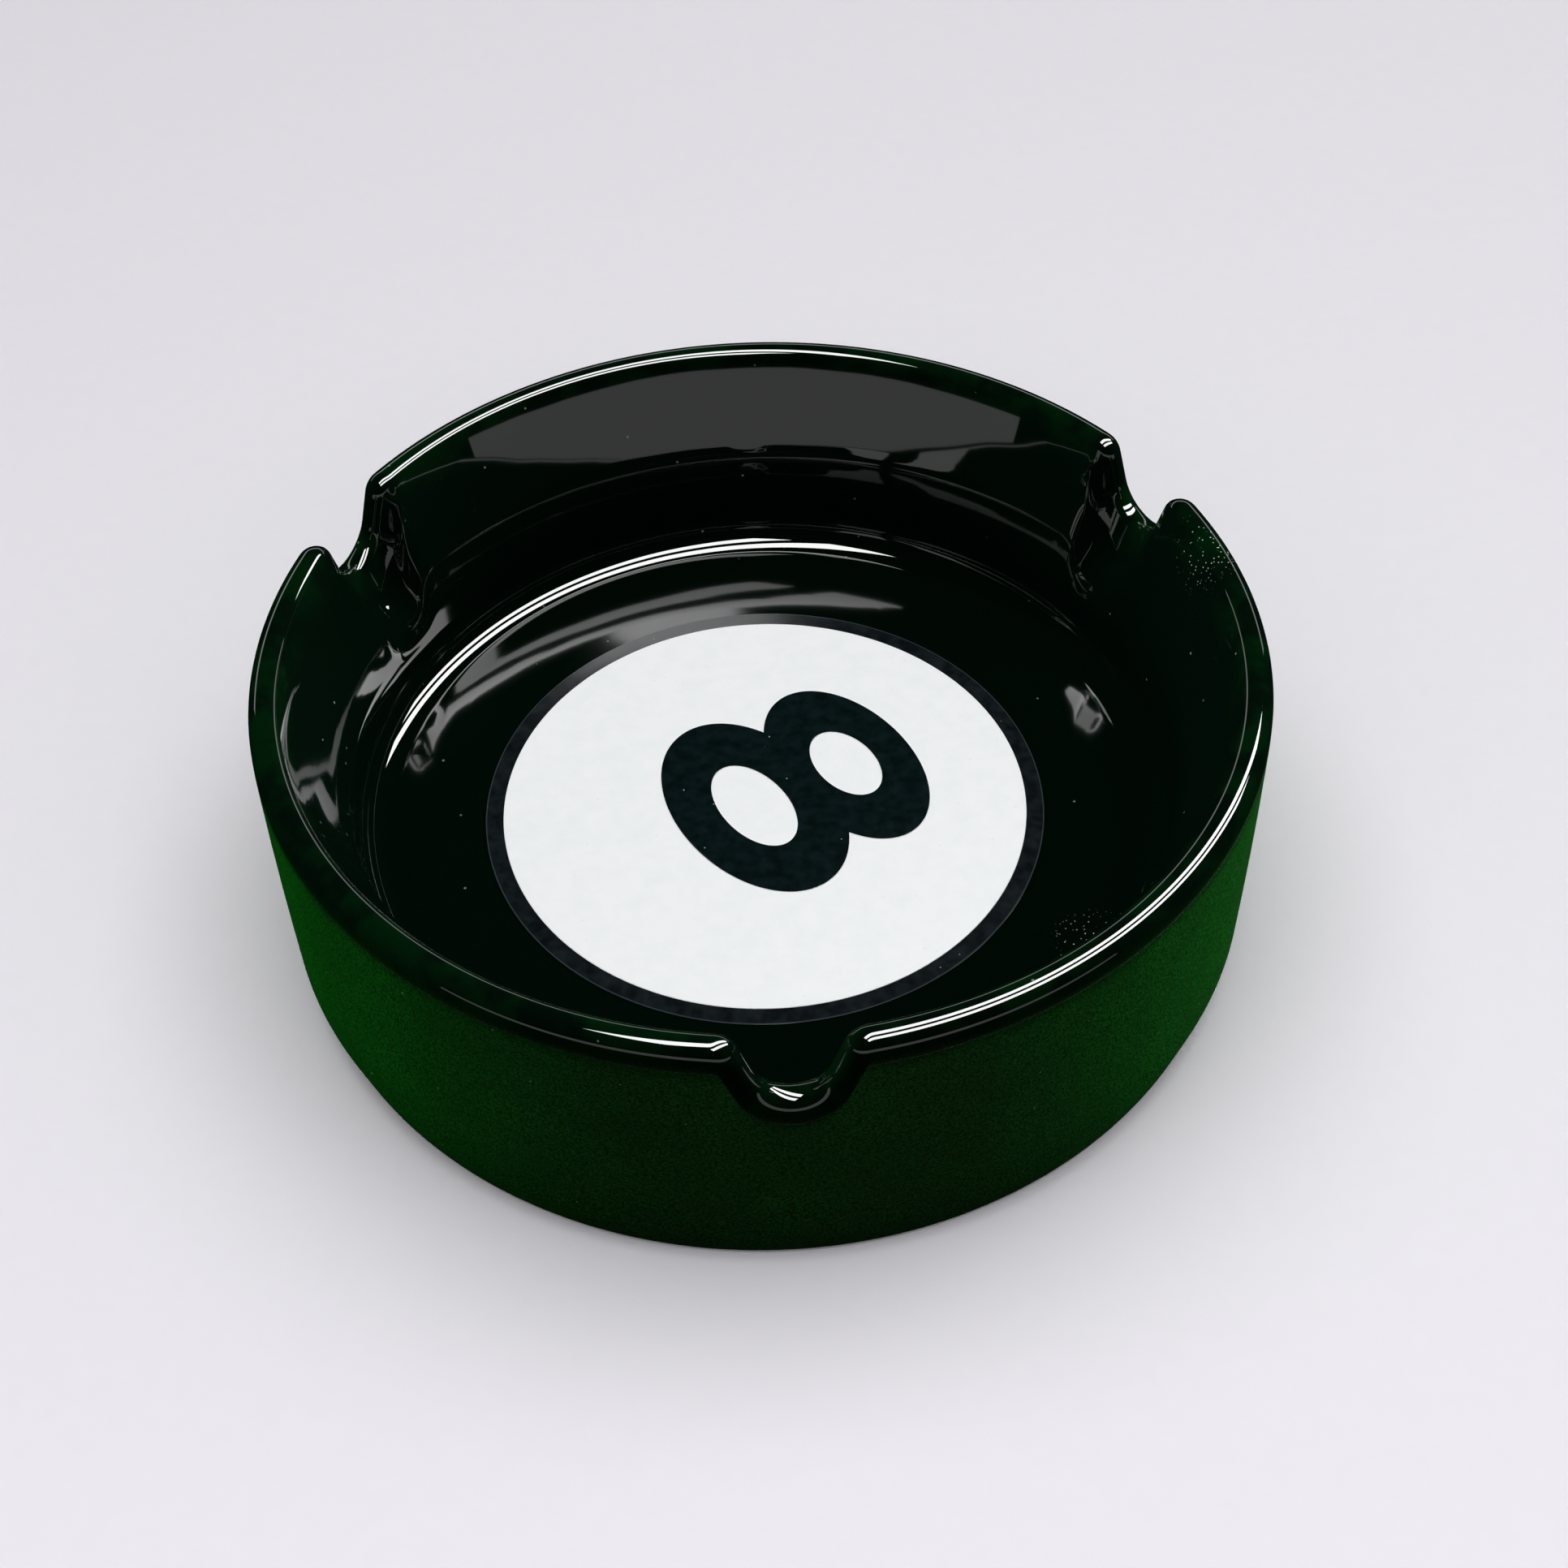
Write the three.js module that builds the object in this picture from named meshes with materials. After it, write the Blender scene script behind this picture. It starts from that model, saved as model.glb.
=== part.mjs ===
// Round pressed-glass ashtray with three cigarette rests and a pool-ball print on its floor.
// Millimetres, +Z up. The origin is the centre of the foot, on the surface the ashtray stands on,
// and one rest points towards -Y.
import * as THREE from 'three';

// ---- Driving dimensions -----------------------------------------------------------------------

const RIM_RADIUS = 60; // widest radius, just under the rim
const HEIGHT = 39; // foot to rim
const FLOOR_Z = 12; // top of the thick glass floor

// Outside wall: a bevel at the foot, then a slightly bulged wall that leans outwards.
const FOOT_RADIUS = 57.8;
const FOOT_ROUND = 0.4;
const BEVEL_TOP_RADIUS = 59.4;
const BEVEL_TOP_Z = 5.6;
const WALL_BULGE = 0.15;

// Underside: a shallow recess inside the foot ring.
const RECESS_RADIUS = 50;
const RECESS_DEPTH = 0.9;
const RECESS_SLOPE = 1.2;

// Rim: two roundings that meet at its top.
const RIM_OUTER_ROUND = 2.3;
const RIM_INNER_ROUND = 1.5;
const RIM_TOP_RADIUS = RIM_RADIUS - RIM_OUTER_ROUND;

// Inside wall: a flare under the rim, a soft bend, a nearly upright lower wall and a hollow fillet.
const FLARE_LEAN = 23.5; // degrees from upright
const LOWER_LEAN = 0.7; // degrees from upright
const BEND_Z = 24;
const BEND_REACH = 3.5; // how far the bend's rounding reaches along the wall
const FILLET_RADIUS = 4;

// Cigarette rests: three equal dips of the whole rim.
const REST_COUNT = 3;
const FIRST_REST_AZIMUTH = -90; // degrees from +X
const REST_DEPTH = 8.6;
const REST_BOTTOM_ROUND = 4.3;
const REST_SHOULDER_ROUND = 2.9;
const REST_SIDE_SLOPE = 70; // degrees from level
const REST_ARC_RADIUS = 57.8; // where a rest's width is measured
const LIP_DEPTH = 2.3; // to this depth the rounded lip turns with the rim's curve
const LIP_FADE_DEPTH = 9; // at this depth the wall is upright again
const DIP_FADE_LOW_Z = 16; // below this height the wall doesn't move
const DIP_FADE_HIGH_Z = 35.5; // above this height the rim dips whole

// Satin coat on the outside wall, let into the glass by its own thickness.
const COAT_THICKNESS = 0.3;
const COAT_GAP = 0.05;
const COAT_LOW_Z = 0.8;
const COAT_TAPER_Z = 33.9; // the coat thins out from here
const COAT_HIGH_Z = 35.7; // to here
const COAT_EDGE = 0.05; // thickness left at its top edge

// Heights where the outside wall has a row of points, shared by the glass and its coat.
const WALL_HEIGHTS = [BEVEL_TOP_Z, 12, 19, 26, COAT_TAPER_Z];

// Print on the floor: three thin layers.
const LAYER_THICKNESS = 0.15;
const LAYER_GAP = 0.02;
const BORDER_RADIUS = 34.7;
const WHITE_RADIUS = 32.5;

// The numeral is two fat ovals with an oval hole in each; sizes are [along, across] half-axes.
const NUMERAL_AXIS_AZIMUTH = 28; // the way its top points
const NUMERAL_SHIFT = 0.4; // off the disc's centre, across that axis
const LOWER_LOBE = { centre: -1.3, half: [9.9, 15.6], hole: [4.3, 7.6] };
const UPPER_LOBE = { centre: 12.2, half: [8.5, 14.2], hole: [3.8, 6.1] };

const BOWL_SEGMENTS = 84; // a multiple of the number of rests
const REST_CROWDING = 0.62; // how far the segments crowd together at the rests, 0 to 1
const DISC_SEGMENTS = 60;
const LOBE_STEPS = 26;
const HOLE_STEPS = 24;
const ARC_STEPS = 5;
const INNER_ROUND_STEPS = 4;
const FLARE_ROW_SHARES = [0.3, 0.65]; // rows of points down the flare
const BEND_STEPS = 4;
const WAIST_SEARCH_STEPS = 40;

const radians = THREE.MathUtils.degToRad;

// ---- Materials --------------------------------------------------------------------------------

const makeMaterial = (color, roughness) =>
  new THREE.MeshStandardMaterial({ color, roughness, metalness: 0 });

const materials = {
  glass: makeMaterial('#04120a', 0.04),
  coat: makeMaterial('#0e4a14', 0.55),
  blackInk: makeMaterial('#0a1416', 0.2),
  whiteInk: makeMaterial('#eceff2', 0.25),
};

// ---- Profiles ---------------------------------------------------------------------------------

const point = (radius, z) => new THREE.Vector2(radius, z);

/** Points on a circular arc from one angle to another, in degrees, both ends included. */
function arc(centreRadius, centreZ, radius, fromAngle, toAngle, steps = ARC_STEPS) {
  return Array.from({ length: steps + 1 }, (_, i) => {
    const angle = radians(THREE.MathUtils.lerp(fromAngle, toAngle, i / steps));
    return point(centreRadius + radius * Math.cos(angle), centreZ + radius * Math.sin(angle));
  });
}

/** Radius of the finished outside wall at a height, coat included. */
function wallRadius(z) {
  if (z < BEVEL_TOP_Z) return THREE.MathUtils.lerp(FOOT_RADIUS, BEVEL_TOP_RADIUS, z / BEVEL_TOP_Z);
  const t = (z - BEVEL_TOP_Z) / (HEIGHT - RIM_OUTER_ROUND - BEVEL_TOP_Z);
  return THREE.MathUtils.lerp(BEVEL_TOP_RADIUS, RIM_RADIUS, t) + WALL_BULGE * 4 * t * (1 - t);
}

/** How far the glass lies inside the finished wall at a height, to make room for the coat. */
function coatInset(z) {
  const t = THREE.MathUtils.clamp((COAT_HIGH_Z - z) / (COAT_HIGH_Z - COAT_TAPER_Z), 0, 1);
  return COAT_EDGE + COAT_GAP + (COAT_THICKNESS - COAT_EDGE) * t;
}

/** Half outline of the glass, from the axis underneath, up the outside and back to the axis. */
function glassProfile() {
  const coated = (z) => point(wallRadius(z) - coatInset(z), z);
  const underside = [
    point(0, RECESS_DEPTH),
    point(RECESS_RADIUS, RECESS_DEPTH),
    point(RECESS_RADIUS + RECESS_SLOPE, 0),
    point(FOOT_RADIUS - FOOT_ROUND - coatInset(0), 0),
  ];
  const outside = [FOOT_ROUND, ...WALL_HEIGHTS, COAT_HIGH_Z].map(coated);
  const rim = [
    ...arc(RIM_TOP_RADIUS, HEIGHT - RIM_OUTER_ROUND, RIM_OUTER_ROUND, 0, 90),
    ...arc(RIM_TOP_RADIUS, HEIGHT - RIM_INNER_ROUND, RIM_INNER_ROUND, 90, 180 - FLARE_LEAN,
      INNER_ROUND_STEPS).slice(1),
  ];
  return [...underside, ...outside, ...rim, ...insideWall(rim.at(-1)), point(0, FLOOR_Z)];
}

/** The inside wall from the foot of the rim's rounding down to the floor. */
function insideWall(flareTop) {
  // A point on a straight stretch of wall, from another point on it, at a new height.
  const along = (from, z, lean) => point(from.x - (from.y - z) * Math.tan(radians(lean)), z);
  const bend = along(flareTop, BEND_Z, FLARE_LEAN);
  const bendTop = along(bend, BEND_Z + BEND_REACH * Math.cos(radians(FLARE_LEAN)), FLARE_LEAN);
  const bendFoot = along(bend, BEND_Z - BEND_REACH * Math.cos(radians(LOWER_LEAN)), LOWER_LEAN);
  const rounding = new THREE.QuadraticBezierCurve(bendTop, bend, bendFoot).getPoints(BEND_STEPS);
  const flare = FLARE_ROW_SHARES.map((share) => flareTop.clone().lerp(bendTop, share));
  // The fillet touches both the floor and the lower wall.
  const lean = radians(LOWER_LEAN);
  const filletTop = along(bend, FLOOR_Z + FILLET_RADIUS * (1 - Math.sin(lean)), LOWER_LEAN);
  const filletCentre = filletTop.x - FILLET_RADIUS * Math.cos(lean);
  const fillet = arc(filletCentre, FLOOR_Z + FILLET_RADIUS, FILLET_RADIUS, -LOWER_LEAN, -90);
  return [...flare, ...rounding, ...fillet];
}

/** Closed outline of the coat: up its outside and back down against the glass. */
function coatProfile() {
  const heights = [COAT_LOW_Z, ...WALL_HEIGHTS, COAT_HIGH_Z - COAT_GAP];
  const outer = heights.map((z) => point(wallRadius(z), z));
  const inner = heights.map((z) => point(wallRadius(z) - coatInset(z) + COAT_GAP, z)).reverse();
  return [...outer, ...inner, outer[0].clone()];
}

// ---- Rests ------------------------------------------------------------------------------------

/** Azimuth of a segment boundary, crowded towards the rests, in radians. */
function crowdedAzimuth(azimuth) {
  const fromRest = azimuth - radians(FIRST_REST_AZIMUTH);
  return azimuth - (REST_CROWDING / REST_COUNT) * Math.sin(REST_COUNT * fromRest);
}

/**
 * How far the rim dips at a distance from the middle of a rest, and how steeply it climbs there:
 * a round bottom, straight sides and round shoulders.
 */
function restCurve(distance) {
  const slope = radians(REST_SIDE_SLOPE);
  const rounds = REST_BOTTOM_ROUND + REST_SHOULDER_ROUND;
  const side = (REST_DEPTH - rounds * (1 - Math.cos(slope))) / Math.sin(slope);
  const bottomEnd = REST_BOTTOM_ROUND * Math.sin(slope);
  const sideEnd = bottomEnd + side * Math.cos(slope);
  const halfWidth = sideEnd + REST_SHOULDER_ROUND * Math.sin(slope);
  if (distance < bottomEnd) {
    const drop = Math.sqrt(REST_BOTTOM_ROUND ** 2 - distance ** 2);
    return { dip: REST_DEPTH - REST_BOTTOM_ROUND + drop, climb: distance / drop };
  }
  if (distance < sideEnd) {
    const climbed = REST_BOTTOM_ROUND * (1 - Math.cos(slope)) + (distance - bottomEnd) * Math.tan(slope);
    return { dip: REST_DEPTH - climbed, climb: Math.tan(slope) };
  }
  if (distance < halfWidth) {
    const left = halfWidth - distance;
    const drop = Math.sqrt(REST_SHOULDER_ROUND ** 2 - left ** 2);
    return { dip: REST_SHOULDER_ROUND - drop, climb: left / drop };
  }
  return { dip: 0, climb: 0 };
}

/**
 * Turns a profile about +Z and presses the three rests into whatever reaches the rim. The rounded
 * lip turns with the rim's curve, and the wall below it eases back to upright.
 */
function revolveWithRests(profile) {
  const geometry = new THREE.LatheGeometry(profile, BOWL_SEGMENTS);
  geometry.rotateX(Math.PI / 2); // the lathe turns about Y
  const position = geometry.getAttribute('position');
  const pitch = (2 * Math.PI) / REST_COUNT;
  for (let i = 0; i < position.count; i += 1) {
    const radius = Math.hypot(position.getX(i), position.getY(i));
    const azimuth = crowdedAzimuth(Math.atan2(position.getY(i), position.getX(i)));
    const turns = (azimuth - radians(FIRST_REST_AZIMUTH)) / pitch;
    const offset = (turns - Math.round(turns)) * pitch * REST_ARC_RADIUS;
    const { dip, climb } = restCurve(Math.abs(offset));
    const z = position.getZ(i);
    const depth = HEIGHT - z;
    const fade = (z - DIP_FADE_LOW_Z) / (DIP_FADE_HIGH_Z - DIP_FADE_LOW_Z);
    const upright = z - dip * THREE.MathUtils.clamp(fade, 0, 1);
    const turned = HEIGHT - dip - depth / Math.hypot(1, climb);
    const share = 1 - THREE.MathUtils.smoothstep(depth, LIP_DEPTH, LIP_FADE_DEPTH);
    const sideways = (Math.min(depth, LIP_DEPTH) * share * climb) / Math.hypot(1, climb);
    const moved = azimuth + (Math.sign(offset) * sideways) / REST_ARC_RADIUS;
    const height = THREE.MathUtils.lerp(upright, turned, share);
    position.setXYZ(i, radius * Math.cos(moved), radius * Math.sin(moved), height);
  }
  geometry.computeVertexNormals();
  return geometry;
}

// ---- Print ------------------------------------------------------------------------------------

/** Height of the underside of a print layer, counted from 0 on the floor. */
const layerZ = (layer) => FLOOR_Z + LAYER_GAP + layer * (LAYER_THICKNESS + LAYER_GAP);

/** A thin plate of a flat outline. */
function plate(shape, layer) {
  const geometry = new THREE.ExtrudeGeometry(shape, { depth: LAYER_THICKNESS, bevelEnabled: false });
  return geometry.translate(0, 0, layerZ(layer));
}

/** A disc layer. */
function disc(radius, layer) {
  const outline = arc(0, 0, radius, 0, 360, DISC_SEGMENTS).slice(0, -1);
  return plate(new THREE.Shape(outline), layer);
}

/** Points on a lobe's oval, by angle from the numeral's own +X, in degrees. */
function oval(lobe, half, fromAngle, toAngle, steps) {
  return Array.from({ length: steps + 1 }, (_, i) => {
    const angle = radians(THREE.MathUtils.lerp(fromAngle, toAngle, i / steps));
    return point(lobe.centre + half[0] * Math.cos(angle), half[1] * Math.sin(angle));
  });
}

/** Angle on each lobe, in degrees, where the two ovals cross: the numeral's waist. */
function waistAngles() {
  const span = UPPER_LOBE.centre - LOWER_LOBE.centre;
  const heightOnUpper = (x) => {
    const along = (x - span) / UPPER_LOBE.half[0];
    return Math.abs(along) < 1 ? UPPER_LOBE.half[1] * Math.sqrt(1 - along * along) : 0;
  };
  let low = 0;
  let high = 90;
  for (let i = 0; i < WAIST_SEARCH_STEPS; i += 1) {
    const middle = (low + high) / 2;
    const x = LOWER_LOBE.half[0] * Math.cos(radians(middle));
    if (LOWER_LOBE.half[1] * Math.sin(radians(middle)) < heightOnUpper(x)) low = middle;
    else high = middle;
  }
  const x = LOWER_LOBE.half[0] * Math.cos(radians(low));
  const upper = Math.acos((x - span) / UPPER_LOBE.half[0]);
  return { lower: low, upper: THREE.MathUtils.radToDeg(upper) };
}

/** The "8": the joined outline of two ovals, with an oval hole in each. */
function numeral() {
  const waist = waistAngles();
  const lower = oval(LOWER_LOBE, LOWER_LOBE.half, waist.lower, 360 - waist.lower, LOBE_STEPS);
  const upper = oval(UPPER_LOBE, UPPER_LOBE.half, -waist.upper, waist.upper, LOBE_STEPS);
  const shape = new THREE.Shape([...lower, ...upper.slice(1, -1)]);
  for (const lobe of [LOWER_LOBE, UPPER_LOBE]) {
    shape.holes.push(new THREE.Path(oval(lobe, lobe.hole, 0, 360, HOLE_STEPS).slice(0, -1)));
  }
  const geometry = plate(shape, 2);
  geometry.translate(0, NUMERAL_SHIFT, 0);
  return geometry.rotateZ(radians(NUMERAL_AXIS_AZIMUTH));
}

// ---- Assembly ---------------------------------------------------------------------------------

const ashtray = new THREE.Group();

function addPiece(name, geometry, material) {
  const mesh = new THREE.Mesh(geometry, material);
  mesh.name = name;
  ashtray.add(mesh);
}

addPiece('glass_bowl', revolveWithRests(glassProfile()), materials.glass);
addPiece('outer_coat', revolveWithRests(coatProfile()), materials.coat);
addPiece('print_border', disc(BORDER_RADIUS, 0), materials.blackInk);
addPiece('print_white_disc', disc(WHITE_RADIUS, 1), materials.whiteInk);
addPiece('print_numeral', numeral(), materials.blackInk);

export default ashtray;
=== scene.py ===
"""Round pressed-glass ashtray with three cigarette rests and a pool-ball print on its floor.

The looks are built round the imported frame: smooth fire-polished glass, a satin coat sprayed on the
outside that fades out below the rim, and three layers of printing ink on the floor of the bowl.
Everything is in metres, +Z up, with one cigarette rest towards -Y.
"""

from __future__ import annotations

import logging
import math
from dataclasses import dataclass, field
from enum import Enum
from typing import Any

import bmesh
import bpy
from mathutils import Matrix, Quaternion, Vector


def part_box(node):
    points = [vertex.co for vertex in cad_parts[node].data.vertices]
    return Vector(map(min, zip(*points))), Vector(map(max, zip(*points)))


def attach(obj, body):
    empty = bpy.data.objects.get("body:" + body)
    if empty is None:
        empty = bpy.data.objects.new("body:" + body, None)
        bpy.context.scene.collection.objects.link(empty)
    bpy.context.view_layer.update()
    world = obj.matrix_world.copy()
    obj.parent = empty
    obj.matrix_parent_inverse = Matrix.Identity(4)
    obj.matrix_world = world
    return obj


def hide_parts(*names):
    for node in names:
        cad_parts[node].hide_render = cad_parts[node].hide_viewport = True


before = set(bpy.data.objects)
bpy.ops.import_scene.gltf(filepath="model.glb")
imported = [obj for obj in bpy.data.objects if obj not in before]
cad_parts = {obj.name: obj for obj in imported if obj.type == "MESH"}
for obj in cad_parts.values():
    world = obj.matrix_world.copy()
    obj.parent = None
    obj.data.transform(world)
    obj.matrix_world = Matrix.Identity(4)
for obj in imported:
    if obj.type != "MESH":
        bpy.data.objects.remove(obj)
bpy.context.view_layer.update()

MM = 0.001
FULL_TURN = 2 * math.pi
BODY = "root"
MERGE_DISTANCE = 0.001 * MM
RING_TOLERANCE = 0.01 * MM
CUT_TOLERANCE = 0.0001 * MM
FLOOR_HEIGHT = 12.0
DUSTING = {"From Min": 0.3, "From Max": 0.7, "To Min": 0.6}
SHARP_ANGLE = math.radians(30)

log = logging.getLogger("ashtray")


class Slot(Enum):
    """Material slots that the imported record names."""

    DARK_GLASS = "dark_glass"
    SATIN_COAT = "satin_green_coat"
    BLACK_INK = "black_ink"
    WHITE_INK = "white_ink"


class Mark(Enum):
    """Vertex attributes that the finishes read."""

    BELOW_RIM = "mm_below_rim"
    OVERSPRAY = "overspray"


# ---- Small tools ------------------------------------------------------------------------------


def linear(hex_colour: str) -> tuple[float, float, float, float]:
    """Turns an sRGB hex colour into linear values.

    Args:
        hex_colour: Six hex digits, with or without a leading #.

    Returns:
        Linear red, green and blue with an alpha of 1.
    """
    digits = hex_colour.lstrip("#")
    shares = [int(digits[i : i + 2], 16) / 255 for i in (0, 2, 4)]
    values = [s / 12.92 if s <= 0.04045 else ((s + 0.055) / 1.055) ** 2.4 for s in shares]
    return (*values, 1.0)


def smoothstep(value: float, low: float, high: float) -> float:
    """Rises smoothly from 0 at low to 1 at high."""
    share = min(max((value - low) / (high - low), 0.0), 1.0)
    return share * share * (3 - 2 * share)


def add_node(
    tree: bpy.types.NodeTree,
    kind: str,
    inputs: dict[str | int, Any] | None = None,
    ramp: list[tuple[float, Any]] | None = None,
    **settings: Any,
) -> bpy.types.Node:
    """Adds a node with its settings and links.

    Args:
        tree: Node tree that gets the node.
        kind: Node type, without the leading ShaderNode.
        inputs: Input name or index, and the value or output socket it takes.
        ramp: Stops of a colour ramp, as position and colour.
        **settings: Properties of the node itself.

    Returns:
        The new node.
    """
    node = tree.nodes.new("ShaderNode" + kind)
    for name, value in settings.items():
        setattr(node, name, value)
    for name, value in (inputs or {}).items():
        if isinstance(value, bpy.types.NodeSocket):
            tree.links.new(value, node.inputs[name])
        else:
            node.inputs[name].default_value = value
    if ramp:
        stops = node.color_ramp.elements
        while len(stops) < len(ramp):
            stops.new(0.5)
        for stop, (position, colour) in zip(stops, ramp):
            stop.position = position
            stop.color = colour
    return node


def new_material(name: str) -> tuple[bpy.types.Material, bpy.types.NodeTree]:
    """Makes an empty node material.

    Args:
        name: Name of the real material.

    Returns:
        The material and its node tree.
    """
    material = bpy.data.materials.new(name)
    material.use_nodes = True
    material.node_tree.nodes.clear()
    return material, material.node_tree


def scattered_dots(
    tree: bpy.types.NodeTree,
    place: bpy.types.NodeSocket,
    pitch: float,
    size: float,
    core: float,
    strength: float,
) -> bpy.types.NodeSocket:
    """Strews small round dots over a surface, such as bubbles, dust or pinholes.

    Args:
        tree: Node tree that gets the pattern.
        place: Place on the surface.
        pitch: Mean distance between dots, in millimetres.
        size: Radius of a dot, in millimetres.
        core: Share of the radius that has the full strength.
        strength: Strength in the middle of a dot.

    Returns:
        The strength at each place, which is 0 between the dots.
    """
    cells = add_node(tree, "TexVoronoi", {"Vector": place, "Scale": 1 / (pitch * MM)})
    reach = size / pitch
    edges = {"From Min": reach * core, "From Max": reach, "To Min": strength, "To Max": 0.0}
    return add_node(tree, "MapRange", {"Value": cells.outputs["Distance"], **edges}).outputs[0]


def finish_shader(tree: bpy.types.NodeTree, shader: bpy.types.Node) -> None:
    """Joins a shader to the material's output."""
    add_node(tree, "OutputMaterial", {"Surface": shader.outputs[0]})


def spun(outline: list[tuple[float, float]], steps: int, closed: bool) -> bmesh.types.BMesh:
    """Spins an outline a full turn about +Z.

    Args:
        outline: Radius and height of each corner, in millimetres.
        steps: Segments in the turn.
        closed: Whether the last corner joins the first.

    Returns:
        The spun mesh, with its doubles and poles merged.
    """
    bm = bmesh.new()
    corners = [bm.verts.new((radius * MM, 0, z * MM)) for radius, z in outline]
    pairs = list(zip(corners, corners[1:]))
    if closed:
        pairs.append((corners[-1], corners[0]))
    edges = [bm.edges.new(pair) for pair in pairs]
    bmesh.ops.spin(
        bm,
        geom=corners + edges,
        cent=(0, 0, 0),
        axis=(0, 0, 1),
        angle=FULL_TURN,
        steps=steps,
        use_merge=True,
    )
    bmesh.ops.remove_doubles(bm, verts=bm.verts, dist=MERGE_DISTANCE)
    return bm


def round_ring(
    bm: bmesh.types.BMesh, radius: float, z: float, offset: float, segments: int
) -> None:
    """Rounds one ring of edges of a spun mesh.

    Args:
        bm: Mesh to change.
        radius: Radius of the ring, in millimetres.
        z: Height of the ring, in millimetres.
        offset: How far the rounding reaches along the faces, in millimetres.
        segments: Segments of the rounding.
    """
    ring = [
        edge
        for edge in bm.edges
        if all(
            abs(math.hypot(v.co.x, v.co.y) - radius * MM) < RING_TOLERANCE
            and abs(v.co.z - z * MM) < RING_TOLERANCE
            for v in edge.verts
        )
    ]
    bmesh.ops.bevel(
        bm,
        geom=ring,
        offset=offset * MM,
        offset_type="OFFSET",
        affect="EDGES",
        segments=segments,
        profile=0.5,
        material=-1,
        clamp_overlap=False,
    )


def cut_levels(bm: bmesh.types.BMesh, heights: list[float]) -> None:
    """Cuts a mesh into rows at some heights, given in millimetres."""
    for z in heights:
        bmesh.ops.bisect_plane(
            bm,
            geom=[*bm.verts, *bm.edges, *bm.faces],
            dist=CUT_TOLERANCE,
            plane_co=(0, 0, z * MM),
            plane_no=(0, 0, 1),
        )


def make_piece(
    bm: bmesh.types.BMesh,
    name: str,
    node: str,
    materials: list[bpy.types.Material],
) -> bpy.types.Object:
    """Turns a mesh into a finished piece that stands for a node of the frame.

    Args:
        bm: Mesh of the piece, which is used up.
        name: Name of the piece.
        node: Node of the frame that the piece replaces.
        materials: Materials in the order of the mesh's material numbers.

    Returns:
        The new object.
    """
    bmesh.ops.remove_doubles(bm, verts=bm.verts, dist=MERGE_DISTANCE)
    bmesh.ops.recalc_face_normals(bm, faces=bm.faces)
    for face in bm.faces:
        face.smooth = True
    for edge in bm.edges:
        edge.smooth = len(edge.link_faces) != 2 or edge.calc_face_angle() < SHARP_ANGLE
    mesh = bpy.data.meshes.new(name)
    bm.to_mesh(mesh)
    bm.free()
    for material in materials:
        mesh.materials.append(material)
    piece = bpy.data.objects.new(name, mesh)
    bpy.context.scene.collection.objects.link(piece)
    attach(piece, BODY)
    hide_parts(node)
    log.info("%s: %d faces", name, len(mesh.polygons))
    return piece


# ---- Shape of the glass -----------------------------------------------------------------------


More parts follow.
